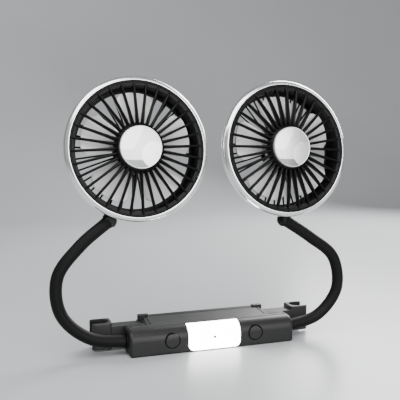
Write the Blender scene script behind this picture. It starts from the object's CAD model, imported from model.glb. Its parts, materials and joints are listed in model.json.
import json
import math

import bmesh
import bpy
from mathutils import Matrix, Vector


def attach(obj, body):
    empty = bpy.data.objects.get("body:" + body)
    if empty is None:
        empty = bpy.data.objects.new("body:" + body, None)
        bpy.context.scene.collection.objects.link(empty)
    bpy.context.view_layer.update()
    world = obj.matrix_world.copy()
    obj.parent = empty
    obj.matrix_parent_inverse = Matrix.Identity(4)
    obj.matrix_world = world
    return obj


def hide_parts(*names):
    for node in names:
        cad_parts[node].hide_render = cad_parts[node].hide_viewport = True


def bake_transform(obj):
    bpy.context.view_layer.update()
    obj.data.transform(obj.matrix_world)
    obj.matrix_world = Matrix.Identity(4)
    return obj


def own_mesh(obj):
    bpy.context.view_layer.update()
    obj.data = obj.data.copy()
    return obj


bl_info = {
    "name": "Dual-head car fan",
    "version": (1, 0, 0),
    "blender": (4, 5, 0),
    "location": "View3D > Sidebar > Car fan",
    "description": "Builds the look of a two-headed headrest fan around its solid frame",
    "category": "Object",
}

MM = 0.001
SIDES = ("left", "right")
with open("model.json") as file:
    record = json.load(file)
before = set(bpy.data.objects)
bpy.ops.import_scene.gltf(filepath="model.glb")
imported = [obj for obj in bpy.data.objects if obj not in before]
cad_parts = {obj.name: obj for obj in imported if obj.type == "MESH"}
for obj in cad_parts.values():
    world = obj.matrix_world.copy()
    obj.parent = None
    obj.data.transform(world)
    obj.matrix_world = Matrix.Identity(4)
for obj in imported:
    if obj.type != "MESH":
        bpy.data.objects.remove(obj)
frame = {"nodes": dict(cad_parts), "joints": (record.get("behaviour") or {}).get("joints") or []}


# Small helpers for meshes


def link_mesh(name, mesh):
    """An object at the origin that shows a mesh."""
    made = bpy.data.objects.new(name, mesh)
    bpy.context.scene.collection.objects.link(made)
    return made


def add_mesh(name, vertices, faces):
    """A smooth mesh object, its place in its vertices, its faces turned outward."""
    mesh = bpy.data.meshes.new(name)
    mesh.from_pydata([tuple(v) for v in vertices], [], faces)
    work = bmesh.new()
    work.from_mesh(mesh)
    bmesh.ops.remove_doubles(work, verts=work.verts, dist=1e-7)
    bmesh.ops.recalc_face_normals(work, faces=work.faces)
    work.to_mesh(mesh)
    work.free()
    mesh.polygons.foreach_set("use_smooth", [True] * len(mesh.polygons))
    return link_mesh(name, mesh)


def sharpen(piece, angle):
    """Keep hard edges where faces meet at more than an angle in degrees."""
    mesh = piece.data
    work = bmesh.new()
    work.from_mesh(mesh)
    limit = math.radians(angle)
    for edge in work.edges:
        edge.smooth = len(edge.link_faces) == 2 and edge.calc_face_angle(0) < limit
    work.to_mesh(mesh)
    work.free()


def lathe(name, outline, segments, place, angle=32):
    """A ring or disc turned from (radius, height) points in millimetres."""
    vertices, faces = [], []
    count = len(outline)
    for step in range(segments):
        turn = 2 * math.pi * step / segments
        for radius, height in outline:
            point = Vector((radius * math.cos(turn), radius * math.sin(turn), height)) * MM
            vertices.append(place @ point)
    for step in range(segments):
        this, following = step * count, (step + 1) % segments * count
        for index in range(count):
            after = (index + 1) % count
            faces.append((this + index, this + after, following + after, following + index))
    made = add_mesh(name, vertices, faces)
    sharpen(made, angle)
    return made


def rounded(outline, size):
    """A closed outline with each corner cut by a small three-point round."""
    result = []
    count = len(outline)
    for index, corner in enumerate(outline):
        here = Vector(corner)
        before = Vector(outline[index - 1]) - here
        after = Vector(outline[(index + 1) % count]) - here
        if here.x < 1e-6 or before.length < 1e-6 or after.length < 1e-6:
            result.append(tuple(here))
            continue
        reach = min(size, before.length * 0.4, after.length * 0.4)
        start = here + before.normalized() * reach
        end = here + after.normalized() * reach
        for part in (0.0, 0.25, 0.5, 0.75, 1.0):
            inner = start.lerp(here, part).lerp(here.lerp(end, part), part)
            result.append(tuple(inner))
    return result


def skin(rows, around, ends=(True, True)):
    """Faces over rows of points, closed at the ends that are asked for."""
    faces = []
    for row in range(rows - 1):
        for corner in range(around):
            after = (corner + 1) % around
            faces.append((row * around + corner, row * around + after,
                          (row + 1) * around + after, (row + 1) * around + corner))
    if ends[0]:
        faces.append(tuple(range(around)))
    if ends[1]:
        faces.append(tuple((rows - 1) * around + corner for corner in range(around)))
    return faces


def circle(centre, first, second, radius, around):
    """Points round a centre, in the plane of two directions."""
    points = []
    for corner in range(around):
        angle = 2 * math.pi * corner / around
        points.append(centre + (first * math.cos(angle) + second * math.sin(angle)) * radius)
    return points


def paint(piece, material):
    """Give a piece one material and the record's slot."""
    piece.data.materials.clear()
    piece.data.materials.append(material)


# Small helpers for node trees


class Tree:
    """A material's nodes, added by name and linked by socket."""

    def __init__(self, name):
        self.material = bpy.data.materials.new(name)
        self.material.use_nodes = True
        self.nodes = self.material.node_tree.nodes
        self.links = self.material.node_tree.links
        self.shader = self.nodes["Principled BSDF"]

    def add(self, kind, settings=None, inputs=None):
        """A node with its settings, and its inputs either fixed or linked."""
        node = self.nodes.new(kind)
        for key, value in (settings or {}).items():
            setattr(node, key, value)
        for key, value in (inputs or {}).items():
            self.join(value, node.inputs[key])
        return node

    def join(self, value, socket):
        """Link a socket, or set its own value."""
        if isinstance(value, bpy.types.NodeSocket):
            self.links.new(value, socket)
        else:
            socket.default_value = value

    def position(self):
        """Object coordinates in metres."""
        return self.add("ShaderNodeTexCoord").outputs["Object"]

    def noise(self, scale, detail=4.0, roughness=0.55, vector=None):
        """Plain noise over the object."""
        node = self.add("ShaderNodeTexNoise", inputs={
            "Vector": vector or self.position(), "Scale": scale, "Detail": detail, "Roughness": roughness,
        })
        return node.outputs["Fac"]

    def spread(self, value, low, high):
        """Map 0.3 to 0.7 of a noise onto a range."""
        node = self.add("ShaderNodeMapRange", inputs={
            "Value": value, "From Min": 0.3, "From Max": 0.7, "To Min": low, "To Max": high,
        })
        return node.outputs["Result"]

    def blend(self, share, first, second):
        """Mix two colours."""
        node = self.add("ShaderNodeMix", {"data_type": "RGBA"})
        self.join(share, node.inputs["Factor"])
        self.join(first, node.inputs["A"])
        self.join(second, node.inputs["B"])
        return node.outputs["Result"]

    def bump(self, height, strength, distance, edge=0.0):
        """Surface relief from a height, over edges softened by a small radius."""
        node = self.add("ShaderNodeBump", inputs={
            "Height": height, "Strength": strength, "Distance": distance,
        })
        if edge:
            soft = self.add("ShaderNodeBevel", {"samples": 6}, {"Radius": edge})
            self.join(soft.outputs["Normal"], node.inputs["Normal"])
        self.join(node.outputs["Normal"], self.shader.inputs["Normal"])

    def set(self, **values):
        """Shader inputs by name, with underscores for blanks."""
        for key, value in values.items():
            self.join(value, self.shader.inputs[key.replace("_", " ")])


def grey(level, warm=0.0):
    """A grey with a little warmth."""
    return (level * (1 + warm), level, level * (1 - warm), 1.0)


def moulded_plastic(name, level, rough, grain, grain_depth, edge=0.0, shine=0.5):
    """Moulded plastic: fine grain, uneven sheen, faint dust and flow marks."""
    tree = Tree(name)
    broad = tree.noise(38.0, 3.0)
    fine = tree.noise(grain, 3.0, 0.6)
    dust = tree.spread(tree.noise(900.0, 6.0, 0.7), 0.0, 0.2)
    colour = tree.blend(tree.spread(broad, 0.0, 1.0), grey(level * 0.9), grey(level * 1.12))
    colour = tree.blend(dust, colour, grey(level * 1.7 + 0.004))
    tree.set(Base_Color=colour, Roughness=tree.spread(broad, rough - 0.05, rough + 0.06),
             Specular_IOR_Level=shine)
    tree.bump(fine, 0.35, grain_depth, edge)
    return tree.material


def plated(name, level, rough):
    """Bright plating over plastic, with soft waves and hair-fine scuffs."""
    tree = Tree(name)
    stretch = tree.add("ShaderNodeMapping", inputs={"Vector": tree.position(), "Scale": (1.0, 1.0, 14.0)})
    scuffs = tree.noise(700.0, 5.0, 0.7, stretch.outputs["Vector"])
    wave = tree.noise(24.0, 2.0)
    tree.set(Base_Color=tree.blend(tree.spread(wave, 0.0, 1.0), grey(level * 0.96), grey(level)),
             Metallic=1.0, Roughness=tree.spread(scuffs, rough * 0.8, rough * 1.3))
    tree.bump(wave, 0.06, 0.00008)
    return tree.material


def cut_silver(name, level, rough):
    """Silver plating whose cuts each have a tone of their own."""
    tree = Tree(name)
    tone = tree.add("ShaderNodeAttribute", {"attribute_name": "tone"}).outputs["Fac"]
    scuffs = tree.noise(900.0, 5.0, 0.7)
    wave = tree.noise(40.0, 2.0)
    bright = tree.blend(tree.spread(wave, 0.0, 1.0), grey(level * 0.97), grey(level, -0.01))
    tree.set(Base_Color=tree.blend(tone, grey(0.0), bright), Metallic=0.75,
             Roughness=tree.spread(scuffs, rough * 0.8, rough * 1.25))
    tree.bump(wave, 0.02, 0.00004)
    return tree.material


def sleeve_rubber(name, level):
    """Dull rubber with fine pores and lint."""
    tree = Tree(name)
    pores = tree.add("ShaderNodeTexVoronoi", inputs={"Vector": tree.position(), "Scale": 2600.0})
    lint = tree.spread(tree.noise(1500.0, 6.0, 0.75), 0.0, 0.14)
    broad = tree.noise(60.0, 3.0)
    base = tree.blend(tree.spread(broad, 0.0, 1.0), grey(level * 0.85), grey(level * 1.2))
    tree.set(Base_Color=tree.blend(lint, base, grey(level * 2.4)),
             Roughness=tree.spread(broad, 0.5, 0.62), Specular_IOR_Level=0.14)
    tree.bump(pores.outputs["Distance"], 0.3, 0.00004)
    return tree.material


def turned_steel(name, level):
    """Bright steel with turning marks along its length."""
    tree = Tree(name)
    marks = tree.add("ShaderNodeTexWave", {"bands_direction": "Y"}, {
        "Vector": tree.position(), "Scale": 900.0, "Distortion": 2.0, "Detail": 2.0,
    })
    wear = tree.noise(300.0, 5.0, 0.7)
    tree.set(Base_Color=tree.blend(tree.spread(wear, 0.0, 1.0), grey(level * 0.8), grey(level)),
             Metallic=1.0, Roughness=tree.spread(wear, 0.22, 0.4))
    tree.bump(marks.outputs["Fac"], 0.15, 0.00002)
    return tree.material


def board_lacquer(name):
    """Dark green board lacquer with tracks and solder points."""
    tree = Tree(name)
    tracks = tree.add("ShaderNodeTexBrick", inputs={
        "Vector": tree.position(), "Scale": 260.0, "Color1": (0.002, 0.008, 0.004, 1.0),
        "Color2": (0.003, 0.011, 0.005, 1.0), "Mortar": (0.008, 0.02, 0.01, 1.0), "Mortar Size": 0.05,
    })
    pads = tree.add("ShaderNodeTexVoronoi", inputs={"Vector": tree.position(), "Scale": 420.0})
    solder = tree.add("ShaderNodeMath", {"operation": "LESS_THAN"}, {0: pads.outputs["Distance"], 1: 0.16})
    tree.set(Base_Color=tree.blend(solder.outputs["Value"], tracks.outputs["Color"], grey(0.12)),
             Metallic=solder.outputs["Value"], Roughness=0.5)
    tree.bump(tracks.outputs["Fac"], 0.3, 0.00005)
    return tree.material


def lamp_white(name, strength):
    """Frosted lamp plastic that glows from within."""
    tree = Tree(name)
    cloud = tree.noise(120.0, 3.0)
    glow = tree.blend(tree.spread(cloud, 0.0, 1.0), (1.0, 0.99, 0.97, 1.0), (0.97, 0.98, 1.0, 1.0))
    tree.set(Base_Color=glow, Roughness=0.35, Emission_Color=glow,
             Emission_Strength=tree.spread(cloud, strength * 0.94, strength * 1.05))
    tree.bump(tree.noise(2400.0, 2.0), 0.1, 0.00003)
    return tree.material


def blade_plastic(name, level):
    """Pale glossy plastic with soft moulding waves."""
    tree = Tree(name)
    flow = tree.noise(55.0, 3.0)
    specks = tree.spread(tree.noise(1300.0, 6.0, 0.75), 0.0, 0.25)
    base = tree.blend(tree.spread(flow, 0.0, 1.0), grey(level * 0.93, 0.01), grey(level, 0.01))
    tree.set(Base_Color=tree.blend(specks, base, grey(level * 0.8, 0.02)),
             Roughness=tree.spread(flow, 0.3, 0.42))
    tree.bump(flow, 0.1, 0.0002)
    return tree.material


MATERIALS = {}


# Settings


class FanSettings(bpy.types.PropertyGroup):
    """Sizes and finishes of the fan's look."""

    rib_count: bpy.props.IntProperty(name="Ribs", description="Ribs in each grille", default=32)
    blade_count: bpy.props.IntProperty(name="Blades", description="Blades on each wheel", default=5)
    rib_width: bpy.props.FloatProperty(
        name="Rib width", description="Width of a rib at the rim", default=1.9 * MM, unit="LENGTH")
    sleeve_radius: bpy.props.FloatProperty(
        name="Sleeve radius", description="Radius of the neck's sleeve", default=4.5 * MM, unit="LENGTH")
    lamp_strength: bpy.props.FloatProperty(
        name="Lamp glow", description="How strongly the lamp window glows", default=14.0)
    left_turn: bpy.props.FloatProperty(
        name="Left rib turn", description="Turn of the left grille's first rib", default=math.radians(13),
        subtype="ANGLE")
    right_turn: bpy.props.FloatProperty(
        name="Right rib turn", description="Turn of the right grille's first rib", default=math.radians(20),
        subtype="ANGLE")


class StageSettings(bpy.types.PropertyGroup):
    """Camera, light and floor."""

    camera_place: bpy.props.FloatVectorProperty(
        name="Camera", description="Where the camera stands", default=(-0.163, -0.4725, 0.163), unit="LENGTH")
    camera_yaw: bpy.props.FloatProperty(
        name="Yaw", description="Camera's turn to the right of straight back", default=math.radians(18.4),
        subtype="ANGLE")
    camera_pitch: bpy.props.FloatProperty(
        name="Pitch", description="Camera's tilt below level", default=math.radians(5.9), subtype="ANGLE")
    lens: bpy.props.FloatProperty(name="Lens", description="Focal length in millimetres", default=59.4)
    sky: bpy.props.FloatProperty(name="Sky", description="Brightness of the surroundings", default=0.5)
    key: bpy.props.FloatProperty(name="Key light", description="Power of the large lamp above", default=11.0)
    fill: bpy.props.FloatProperty(name="Fill light", description="Power of the lamp in front", default=13.0)


# Heads, in millimetres from the front ring

RIB_INNER = 16.2
RIB_OUTER = 48.2
CAP_RADIUS = 15.25
CAP_FOOT = 5.5
CAP_TOP = 8.4
CAP_DOME = 0.9
BLADE_INNER = 13.2
BLADE_OUTER = 40.8
BLADE_HEIGHT = -8.5
BLADE_CAMBER = 0.9


def head_place(side):
    """The head's own frame: its axis along +Z and its front ring at height 0."""
    spin = next(joint for joint in frame["joints"] if joint["name"] == f"{side}_fan_spin")
    forward = Vector(spin["axis"]).normalized()
    across = Vector((0, 0, 1)).cross(forward).normalized()
    upright = forward.cross(across)
    turn = Matrix((across, upright, forward)).transposed().to_4x4()
    return Matrix.Translation(Vector(spin["pos_m"])) @ turn


def first_turn(side, settings):
    """The turn of a head's first rib and blade."""
    return settings.left_turn if side == "left" else settings.right_turn


def radial_group():
    """A geometry node group that repeats one piece round an axis."""
    group = bpy.data.node_groups.new("Repeat round axis", "GeometryNodeTree")
    face = group.interface
    face.new_socket("Geometry", in_out="INPUT", socket_type="NodeSocketGeometry")
    for name, kind in (("Count", "NodeSocketInt"), ("First turn", "NodeSocketFloat"),
                       ("Seed", "NodeSocketInt"), ("Finish", "NodeSocketMaterial")):
        face.new_socket(name, in_out="INPUT", socket_type=kind)
    face.new_socket("Geometry", in_out="OUTPUT", socket_type="NodeSocketGeometry")
    nodes, links = group.nodes, group.links
    given = nodes.new("NodeGroupInput")
    result = nodes.new("NodeGroupOutput")
    line = nodes.new("GeometryNodeMeshLine")
    line.inputs["Offset"].default_value = (0.0, 0.0, 0.0)
    order = nodes.new("GeometryNodeInputIndex")
    step = nodes.new("ShaderNodeMath")
    step.operation = "DIVIDE"
    step.inputs[0].default_value = 2 * math.pi
    turn = nodes.new("ShaderNodeMath")
    turn.operation = "MULTIPLY_ADD"
    waver = nodes.new("FunctionNodeRandomValue")
    waver.data_type = "FLOAT_VECTOR"
    waver.inputs[0].default_value = (-0.0012, -0.0012, -0.0012)
    waver.inputs[1].default_value = (0.0012, 0.0012, 0.0012)
    upright = nodes.new("ShaderNodeCombineXYZ")
    wavered = nodes.new("ShaderNodeVectorMath")
    copies = nodes.new("GeometryNodeInstanceOnPoints")
    real = nodes.new("GeometryNodeRealizeInstances")
    finish = nodes.new("GeometryNodeSetMaterial")
    links.new(given.outputs["Count"], line.inputs["Count"])
    links.new(given.outputs["Count"], step.inputs[1])
    links.new(order.outputs["Index"], turn.inputs[0])
    links.new(step.outputs["Value"], turn.inputs[1])
    links.new(given.outputs["First turn"], turn.inputs[2])
    links.new(given.outputs["Seed"], waver.inputs["Seed"])
    links.new(turn.outputs["Value"], upright.inputs["Z"])
    links.new(upright.outputs["Vector"], wavered.inputs[0])
    links.new(waver.outputs[0], wavered.inputs[1])
    links.new(line.outputs["Mesh"], copies.inputs["Points"])
    links.new(given.outputs["Geometry"], copies.inputs["Instance"])
    links.new(wavered.outputs["Vector"], copies.inputs["Rotation"])
    links.new(copies.outputs["Instances"], real.inputs["Geometry"])
    links.new(real.outputs["Geometry"], finish.inputs["Geometry"])
    links.new(given.outputs["Finish"], finish.inputs["Material"])
    links.new(finish.outputs["Geometry"], result.inputs["Geometry"])
    return group


def repeated(piece, count, turn, seed, material, place):
    """The piece repeated round its axis, as one plain mesh in place."""
    group = bpy.data.node_groups.get("Repeat round axis") or radial_group()
    modifier = piece.modifiers.new("Repeat", "NODES")
    modifier.node_group = group
    values = {"Count": count, "First turn": turn, "Seed": seed, "Finish": material}
    for socket in group.interface.items_tree:
        if socket.in_out == "INPUT" and socket.name in values:
            modifier[socket.identifier] = values[socket.name]
    bpy.context.view_layer.update()
    evaluated = piece.evaluated_get(bpy.context.evaluated_depsgraph_get())
    mesh = bpy.data.meshes.new_from_object(evaluated)
    mesh.transform(place)
    name = piece.name
    bpy.data.objects.remove(piece)
    mesh.name = name
    return link_mesh(name, mesh)


def bowed_rib(name, rows):
    """A rib from (radius, height, depth, width) rows in millimetres."""
    vertices = []
    ring = 8
    for radius, height, depth, width in rows:
        for corner in range(ring):
            angle = 2 * math.pi * (corner + 0.5) / ring
            swell = 1 / max(abs(math.cos(angle)), abs(math.sin(angle))) ** 0.75
            side = math.cos(angle) * swell * width / 2
            rise = math.sin(angle) * swell * depth / 2
            vertices.append(Vector((radius, side, height - depth / 2 + rise)) * MM)
    return add_mesh(name, vertices, skin(len(rows), ring))


def join_meshes(name, pieces):
    """Several pieces as one mesh."""
    work = bmesh.new()
    materials = []
    for piece in pieces:
        for material in piece.data.materials:
            if material not in materials:
                materials.append(material)
    for piece in pieces:
        before = len(work.faces)
        work.from_mesh(piece.data)
        work.faces.ensure_lookup_table()
        for face in work.faces[before:]:
            if piece.data.materials:
                face.material_index = materials.index(piece.data.materials[face.material_index])
    mesh = bpy.data.meshes.new(name)
    work.to_mesh(mesh)
    work.free()
    for material in materials:
        mesh.materials.append(material)
    for piece in pieces:
        bpy.data.objects.remove(piece)
    return link_mesh(name, mesh)


def front_ring(side, place):
    """The bright ring with its rolled front edge and a fine step."""
    outline = rounded([
        (48.75, -6.95), (52.0, -6.95), (52.45, -5.2), (52.5, -3.4), (52.2, -2.1), (51.6, -1.1),
        (50.7, -0.3), (49.8, 0.15), (49.2, 0.2), (48.8, -0.2),
    ], 0.25)
    ring = lathe(f"{side}_ring", outline, 160, place, 50)
    paint(ring, MATERIALS["plating"])
    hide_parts(f"{side}_front_bezel")
    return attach(ring, f"{side}_head")


def back_ring(side, place):
    """The second, thinner bright ring behind the groove."""
    outline = rounded([(48.75, -7.9), (51.4, -7.9), (51.68, -8.2), (51.5, -9.15), (48.75, -9.15)], 0.18)
    ring = lathe(f"{side}_back_ring", outline, 160, place, 50)
    paint(ring, MATERIALS["plating"])
    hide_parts(f"{side}_rear_rim")
    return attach(ring, f"{side}_head")


def front_guard(side, place, settings):
    """The front grille: outer ring, raised cone behind the cap and bowed ribs."""
    finish = MATERIALS["guard"]
    ring = lathe("ring", rounded([
        (45.3, -1.5), (48.5, -1.5), (48.5, -0.15), (47.7, -0.1), (47.4, -0.5), (45.3, -0.6),
    ], 0.15), 128, place)
    cone = lathe("cone", rounded([
        (0.0, 3.0), (17.5, 0.6), (18.4, 0.8), (18.0, 2.4), (17.0, 4.0), (15.9, 5.3), (0.0, 5.3),
    ], 0.2), 96, place)
    for piece in (ring, cone):
        piece.data.materials.append(finish)
    rows = []
    for step in range(11):
        share = step / 10
        radius = RIB_INNER + share * (RIB_OUTER - RIB_INNER)
        height = 4.9 - 3.9 * share ** 1.2 - 1.1 * share ** 6
        depth = 7.2 - 3.4 * share
        width = settings.rib_width / MM * (1.25 - 0.25 * min(share * 2.2, 1.0))
        rows.append((radius, height, depth, width))
    rib = bowed_rib("ribs", rows)
    turn = first_turn(side, settings)
    ribs = repeated(rib, settings.rib_count, turn, 7, finish, place)
    guard = join_meshes(f"{side}_guard", [ring, cone, ribs])
    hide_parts(f"{side}_front_grille")
    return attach(guard, f"{side}_head")


def back_guard(side, place, settings):
    """The rear grille: outer ring, motor plate and flat ribs."""
    finish = MATERIALS["guard"]
    ring = lathe("back ring", rounded([
        (42.6, -16.45), (44.6, -16.45), (44.8, -15.05), (42.6, -15.05),
    ], 0.15), 112, place)
    plate = lathe("plate", rounded([
        (2.5, -16.45), (15.6, -16.45), (16.0, -16.0), (15.6, -14.75), (2.5, -14.75),
    ], 0.2), 72, place)
    for piece in (ring, plate):
        piece.data.materials.append(finish)
    rows = [(15.2 + step * 2.8, -15.1, 1.3, 1.35) for step in range(11)]
    rib = bowed_rib("back ribs", rows)
    turn = first_turn(side, settings)
    ribs = repeated(rib, settings.rib_count, turn + math.pi / settings.rib_count, 11, finish, place)
    guard = join_meshes(f"{side}_back_guard", [ring, plate, ribs])
    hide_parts(f"{side}_rear_grille")
    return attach(guard, f"{side}_head")


def cap_tone(across, up):
    """How bright the cap's cut is at a place, given as shares of its radius."""
    if math.hypot(across - 0.6, up + 0.36) < 0.6:
        return 1.0
    if up < -0.6 + 0.12 * max(0.0, -across - 0.4):
        return 0.24
    above = up > -0.1 and (across < -0.36 or across - 0.54 * up < -0.32)
    return 0.96 if above else 0.74


def faceted_cap(name, rim_radius, foot, place):
    """A short round block with a low dome, marked with the tones of its cuts."""
    rings, spokes = 44, 144
    vertices, faces = [Vector((0, 0, CAP_TOP))], []
    for ring in range(1, rings + 1):
        share = ring / rings
        radius = rim_radius * 0.955 * share
        for spoke in range(spokes):
            turn = 2 * math.pi * spoke / spokes
            height = CAP_TOP - CAP_DOME * share ** 2
            vertices.append(Vector((radius * math.cos(turn), radius * math.sin(turn), height)))
    rim = ((0.965, 7.5), (0.98, 7.62), (0.993, 7.45), (1.0, 7.1), (1.0, foot), (0.5, foot))
    for radius, height in rim:
        for spoke in range(spokes):
            turn = 2 * math.pi * spoke / spokes
            reach = rim_radius * radius
            vertices.append(Vector((reach * math.cos(turn), reach * math.sin(turn), height)))
    total = rings + len(rim)
    for spoke in range(spokes):
        after = (spoke + 1) % spokes
        faces.append((0, 1 + spoke, 1 + after))
        for ring in range(total - 1):
            first, second = 1 + ring * spokes, 1 + (ring + 1) * spokes
            faces.append((first + spoke, second + spoke, second + after, first + after))
    faces.append(tuple(1 + (total - 1) * spokes + spoke for spoke in range(spokes)))
    made = add_mesh(name, [place @ (vertex * MM) for vertex in vertices], faces)
    sharpen(made, 30)
    inverse = place.inverted()
    tones = made.data.attributes.new("tone", "FLOAT", "FACE")
    for face in made.data.polygons:
        here = inverse @ face.center / (rim_radius * MM)
        inside = math.hypot(here.x, here.y) < 0.95 and face.normal.dot(place.col[2].xyz) > 0.5
        tones.data[face.index].value = cap_tone(here.x, here.y) if inside else 1.0
    return made


def cap(side, place):
    """The bright cap with the tones of its cuts and its rolled rim."""
    made = faceted_cap(f"{side}_cap", CAP_RADIUS, CAP_FOOT, place)
    paint(made, MATERIALS["cap"])
    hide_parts(f"{side}_centre_cap")
    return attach(made, f"{side}_head")


def curved_blade(name, rows, columns):
    """One twisted blade, thin at its edges and cambered across."""
    top, bottom = [], []
    for row in range(rows + 1):
        share = row / rows
        radius = BLADE_INNER + share * (BLADE_OUTER - BLADE_INNER)
        half = math.radians(27.0 - 2.0 * share)
        lean = math.radians(4.0) * math.sin(share * math.pi / 2)
        pitch = math.radians(17.0 - 5.5 * share)
        for column in range(columns + 1):
            across = -1 + 2 * column / columns
            corner = max(0.0, share - 0.78) / 0.22
            trim = 1 - 0.26 * corner ** 2.2 * abs(across) ** 2
            angle = across * half * trim + lean
            reach = radius - 1.1 * corner * across ** 4
            run = reach * math.sin(angle)
            camber = BLADE_CAMBER * (1 - across ** 2) * (0.4 + 0.6 * share)
            height = BLADE_HEIGHT + run * math.tan(pitch) + camber
            thick = 0.72 * math.sqrt(max(0.0, 1 - across ** 4)) + 0.12
            point = Vector((reach * math.cos(angle), run, 0)) * MM
            top.append(point + Vector((0, 0, height + thick)) * MM)
            bottom.append(point + Vector((0, 0, height - thick)) * MM)
    width = columns + 1
    total = len(top)
    faces = []
    for row in range(rows):
        for column in range(columns):
            a, b = row * width + column, row * width + column + 1
            c, d = b + width, a + width
            faces.append((a, b, c, d))
            faces.append((total + a, total + d, total + c, total + b))
    for row in range(rows):
        for column in (0, columns):
            a = row * width + column
            faces.append((a, a + width, total + a + width, total + a))
    for column in range(columns):
        for row in (0, rows):
            a = row * width + column
            faces.append((a, a + 1, total + a + 1, total + a))
    return add_mesh(name, top + bottom, faces)


def wheel(side, place, settings):
    """The fan wheel: a cup-shaped hub and its blades."""
    finish = MATERIALS["blades"]
    hub = lathe("hub", rounded([
        (1.05, -5.9), (2.4, -5.9), (2.4, -4.9), (12.7, -4.9), (12.8, -12.55), (13.9, -12.55),
        (14.0, -5.0), (12.4, -3.65), (1.05, -3.65),
    ], 0.3), 96, place)
    hub.data.materials.append(finish)
    blade = curved_blade("blades", 22, 18)
    turn = first_turn(side, settings)
    blades = repeated(blade, settings.blade_count, turn, 3, finish, place)
    made = join_meshes(f"{side}_wheel", [hub, blades])
    sharpen(made, 60)
    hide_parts(f"{side}_impeller")
    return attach(made, f"{side}_rotor")


# Necks


def neck_bends(side):
    """The joint places along one neck, from the bar to the head."""
    names = ("neck_swing", "neck_lean", "neck_bow", "neck_curl", "head_turn", "head_nod")
    found = {joint["name"]: joint for joint in frame["joints"]}
    return [Vector(found[f"{side}_{name}"]["pos_m"]) for name in names]


def smooth_route(points, samples):
    """A smooth line through the joint places."""
    extended = [points[0] - Vector((0.02 if points[0].x > 0 else -0.02, 0, 0)), *points]
    extended.append(points[-1] * 2 - points[-2])
    route = []
    for index in range(1, len(extended) - 2):
        p0, p1, p2, p3 = extended[index - 1:index + 3]
        for step in range(samples):
            t = step / samples
            route.append(0.5 * ((2 * p1) + (p2 - p0) * t + (2 * p0 - 5 * p1 + 4 * p2 - p3) * t * t
                                + (3 * p1 - p0 - 3 * p2 + p3) * t ** 3))
    route.append(points[-1])
    return route


def tube(name, route, radii, ends):
    """A round sleeve along a route, closed at the ends that are asked for."""
    vertices = []
    around = 28
    for index, point in enumerate(route):
        before, after = route[max(index - 1, 0)], route[min(index + 1, len(route) - 1)]
        along = (after - before).normalized()
        first = Vector((0, 1, 0))
        second = along.cross(first).normalized()
        vertices += circle(point, first, second, radii[index], around)
    return add_mesh(name, vertices, skin(len(route), around, ends))


def sleeve(side, settings):
    """One neck's rubber sleeve, in lengths that each bend over one joint."""
    samples = 24
    points = neck_bends(side)
    route = smooth_route(points, samples)
    radius = settings.sleeve_radius
    radii = []
    for index in range(len(route)):
        share = index / (len(route) - 1)
        swell = 0.9 * MM * max(0.0, (share - 0.965) / 0.035) ** 2
        radii.append(radius + swell)
    cuts = [0] + [samples * joint + samples // 2 for joint in range(1, 5)] + [len(route) - 1]
    for index in range(5):
        start, end = cuts[index], cuts[index + 1]
        piece = tube(f"{side}_sleeve_{index + 1}", route[start:end + 1], radii[start:end + 1],
                     (index == 0, index == 4))
        paint(piece, MATERIALS["rubber"])
        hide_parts(f"{side}_neck_link_{index + 1}")
        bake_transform(piece)


# Hook springs, in millimetres

SPRING_START = 11.2
SPRING_LENGTH = 46.2
SPRING_RADIUS = 2.9
SPRING_WIRE = 0.4
SPRING_TURNS = 14
SPRING_BACK = 8.65
SPRING_HEIGHT = 10.6


def outward(side):
    """The sign of X on a side."""
    return -1 if side == "left" else 1


def coil(name, side):
    """A compression spring along X, its end turns lying closer together."""
    sign = outward(side)
    steps = SPRING_TURNS * 28
    route = []
    for step in range(steps + 1):
        share = step / steps
        pulled = share + 0.018 * math.sin(2 * math.pi * share)
        turn = 2 * math.pi * SPRING_TURNS * share
        across = Vector((0, math.cos(turn), math.sin(turn))) * SPRING_RADIUS
        along_bar = sign * (SPRING_START + SPRING_LENGTH * pulled)
        route.append((Vector((along_bar, SPRING_BACK, SPRING_HEIGHT)) + across) * MM)
    vertices = []
    around = 8
    for index, point in enumerate(route):
        after, before = route[min(index + 1, steps)], route[max(index - 1, 0)]
        along = (after - before).normalized()
        first = along.cross(Vector((1, 0, 0))).normalized()
        second = along.cross(first)
        vertices += circle(point, first, second, SPRING_WIRE * MM, around)
    return add_mesh(name, vertices, skin(len(route), around))


def hook_spring(side):
    """The spring behind a hook, which shortens as the hook slides in."""
    made = coil(f"{side}_spring", side)
    paint(made, MATERIALS["steel"])
    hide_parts(f"{side}_hook_spring")
    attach(made, "bar")
    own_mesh(made)


# Stage


def look_along(yaw, pitch):
    """The turn of a camera that looks back and to the right, tilted down."""
    right = Vector((math.cos(yaw), -math.sin(yaw), 0))
    forward = Vector((math.sin(yaw) * math.cos(pitch), math.cos(yaw) * math.cos(pitch), -math.sin(pitch)))
    up = right.cross(forward)
    return Matrix((right, up, -forward)).transposed()


def area_light(name, place, target, size, power, colour=(1, 1, 1)):
    """A soft rectangular lamp aimed at a point."""
    data = bpy.data.lights.new(name, "AREA")
    data.shape = "RECTANGLE"
    data.size, data.size_y = size
    data.energy = power
    data.color = colour
    lamp = bpy.data.objects.new(name, data)
    lamp.location = place
    lamp.rotation_euler = (Vector(target) - Vector(place)).to_track_quat("-Z", "Y").to_euler()
    bpy.context.scene.collection.objects.link(lamp)
    return lamp


def floor_material():
    """Pale smooth floor with a hint of unevenness."""
    tree = Tree("floor")
    cloud = tree.noise(3.0, 2.0)
    tree.set(Base_Color=tree.blend(tree.spread(cloud, 0.0, 1.0), grey(0.42, -0.02), grey(0.45, -0.02)),
             Roughness=0.32, Specular_IOR_Level=0.35)
    return tree.material


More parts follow.
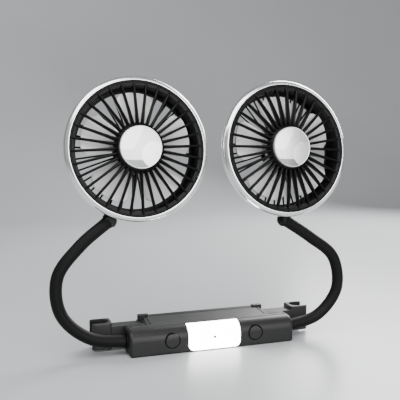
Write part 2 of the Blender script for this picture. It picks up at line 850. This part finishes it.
def sweep_floor(start, radius):
    """A floor that turns up into a backdrop behind the fan."""
    profile = [(-4.0, 0.0), (start, 0.0)]
    for step in range(1, 17):
        angle = math.radians(90 * step / 16)
        profile.append((start + radius * math.sin(angle), radius * (1 - math.cos(angle))))
    profile.append((start + radius, 4.0))
    vertices, faces = [], []
    for y, z in profile:
        vertices += [(-5, y, z), (5, y, z)]
    for row in range(len(profile) - 1):
        a = row * 2
        faces.append((a, a + 1, a + 3, a + 2))
    floor = add_mesh("floor", vertices, faces)
    if floor.data.polygons[0].normal.z < 0:
        floor.data.flip_normals()
    return floor


# Operators, one for each group of pieces


class CARFAN_OT_finishes(bpy.types.Operator):
    """Make every finish"""

    bl_idname = "carfan.finishes"
    bl_label = "Make finishes"

    def execute(self, context):
        MATERIALS["charcoal"] = moulded_plastic(
            "charcoal plastic", 0.009, 0.4, 2200.0, 0.00005, 0.0006, 0.3)
        MATERIALS["cover"] = moulded_plastic("cover plastic", 0.02, 0.4, 1800.0, 0.00005, 0.0006, 0.35)
        MATERIALS["guard"] = moulded_plastic("guard plastic", 0.0015, 0.42, 1500.0, 0.00003, 0.0, 0.16)
        MATERIALS["drum"] = moulded_plastic("drum plastic", 0.0015, 0.4, 1500.0, 0.00003, 0.0, 0.16)
        MATERIALS["plating"] = plated("ring plating", 0.93, 0.16)
        MATERIALS["cap"] = cut_silver("cap plating", 0.9, 0.3)
        MATERIALS["rubber"] = sleeve_rubber("sleeve rubber", 0.003)
        MATERIALS["pad"] = sleeve_rubber("pad rubber", 0.012)
        MATERIALS["steel"] = turned_steel("turned steel", 0.62)
        MATERIALS["board"] = board_lacquer("board lacquer")
        MATERIALS["lamp"] = lamp_white("lamp window", context.scene.carfan.lamp_strength)
        MATERIALS["emitter"] = lamp_white("light emitter", 0.4)
        MATERIALS["blades"] = blade_plastic("blade plastic", 0.86)
        return {"FINISHED"}


class CARFAN_OT_bar(bpy.types.Operator):
    """Finish the bar, its buttons, its boards and its hooks"""

    bl_idname = "carfan.bar"
    bl_label = "Finish bar and hooks"

    def execute(self, context):
        table = {
            "lower_shell": "charcoal", "upper_shell": "charcoal", "top_cover": "cover", "lamp_lens": "lamp",
            "indicator_light": "drum", "lamp_board": "board", "control_board": "board",
            "inlet_board": "board", "lamp_leds": "emitter", "power_inlet": "steel",
            "base_screws": "steel", "base_feet": "pad",
        }
        for side in SIDES:
            for node, finish in (("button", "charcoal"), ("switch", "drum"), ("neck_collar", "drum"),
                                 ("hook", "cover"), ("jaw_pad", "pad"), ("drum", "drum"),
                                 ("motor", "steel"), ("motor_screws", "steel"), ("motor_shaft", "steel")):
                table[f"{side}_{node}"] = finish
        for node, finish in table.items():
            paint(frame["nodes"][node], MATERIALS[finish])
        for side in SIDES:
            hook_spring(side)
        return {"FINISHED"}


class CARFAN_OT_heads(bpy.types.Operator):
    """Build the rings, grilles, caps and wheels"""

    bl_idname = "carfan.heads"
    bl_label = "Build heads"

    def execute(self, context):
        settings = context.scene.carfan
        for side in SIDES:
            place = head_place(side)
            front_ring(side, place)
            back_ring(side, place)
            front_guard(side, place, settings)
            back_guard(side, place, settings)
            cap(side, place)
            wheel(side, place, settings)
        return {"FINISHED"}


class CARFAN_OT_necks(bpy.types.Operator):
    """Build the rubber sleeves of the necks"""

    bl_idname = "carfan.necks"
    bl_label = "Build necks"

    def execute(self, context):
        for side in SIDES:
            sleeve(side, context.scene.carfan)
        return {"FINISHED"}


class CARFAN_OT_stage(bpy.types.Operator):
    """Set the camera, the floor and the light"""

    bl_idname = "carfan.stage"
    bl_label = "Set stage"

    def execute(self, context):
        settings = context.scene.carfan_stage
        floor = sweep_floor(0.75, 0.5)
        floor.data.materials.append(floor_material())
        world = bpy.data.worlds.new("surroundings")
        world.use_nodes = True
        context.scene.world = world
        sky = world.node_tree.nodes["Background"]
        sky.inputs["Color"].default_value = (0.98, 0.99, 1.0, 1.0)
        sky.inputs["Strength"].default_value = settings.sky
        area_light("key", (-0.35, -0.35, 0.9), (0, 0, 0.08), (0.9, 0.7), settings.key)
        area_light("fill", (0.2, -1.1, 0.45), (0, 0, 0.1), (1.0, 0.8), settings.fill)
        area_light("edge", (0.55, 0.5, 0.5), (0, 0, 0.12), (0.5, 0.6), settings.fill)
        data = bpy.data.cameras.new("camera")
        data.lens = settings.lens
        data.sensor_width = 36.0
        camera = bpy.data.objects.new("camera", data)
        turn = look_along(settings.camera_yaw, settings.camera_pitch)
        camera.matrix_world = Matrix.Translation(Vector(settings.camera_place)) @ turn.to_4x4()
        context.scene.collection.objects.link(camera)
        context.scene.camera = camera
        return {"FINISHED"}


class CARFAN_PT_panel(bpy.types.Panel):
    """Sizes and steps of the car fan"""

    bl_label = "Car fan"
    bl_idname = "CARFAN_PT_panel"
    bl_space_type = "VIEW_3D"
    bl_region_type = "UI"
    bl_category = "Car fan"

    def draw(self, context):
        for group in (context.scene.carfan, context.scene.carfan_stage):
            for name in group.bl_rna.properties.keys():
                if name not in ("rna_type", "name"):
                    self.layout.prop(group, name)
        for operator in OPERATORS:
            self.layout.operator(operator.bl_idname)


OPERATORS = (CARFAN_OT_finishes, CARFAN_OT_bar, CARFAN_OT_heads, CARFAN_OT_necks, CARFAN_OT_stage)
CLASSES = (FanSettings, StageSettings, *OPERATORS, CARFAN_PT_panel)


def register():
    for item in CLASSES:
        bpy.utils.register_class(item)
    bpy.types.Scene.carfan = bpy.props.PointerProperty(type=FanSettings)
    bpy.types.Scene.carfan_stage = bpy.props.PointerProperty(type=StageSettings)


def unregister():
    del bpy.types.Scene.carfan_stage
    del bpy.types.Scene.carfan
    for item in reversed(CLASSES):
        bpy.utils.unregister_class(item)


def main():
    register()
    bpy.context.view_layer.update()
    bpy.ops.carfan.finishes()
    bpy.ops.carfan.bar()
    bpy.ops.carfan.heads()
    bpy.ops.carfan.necks()
    bpy.ops.carfan.stage()


if __name__ == "__main__":
    main()
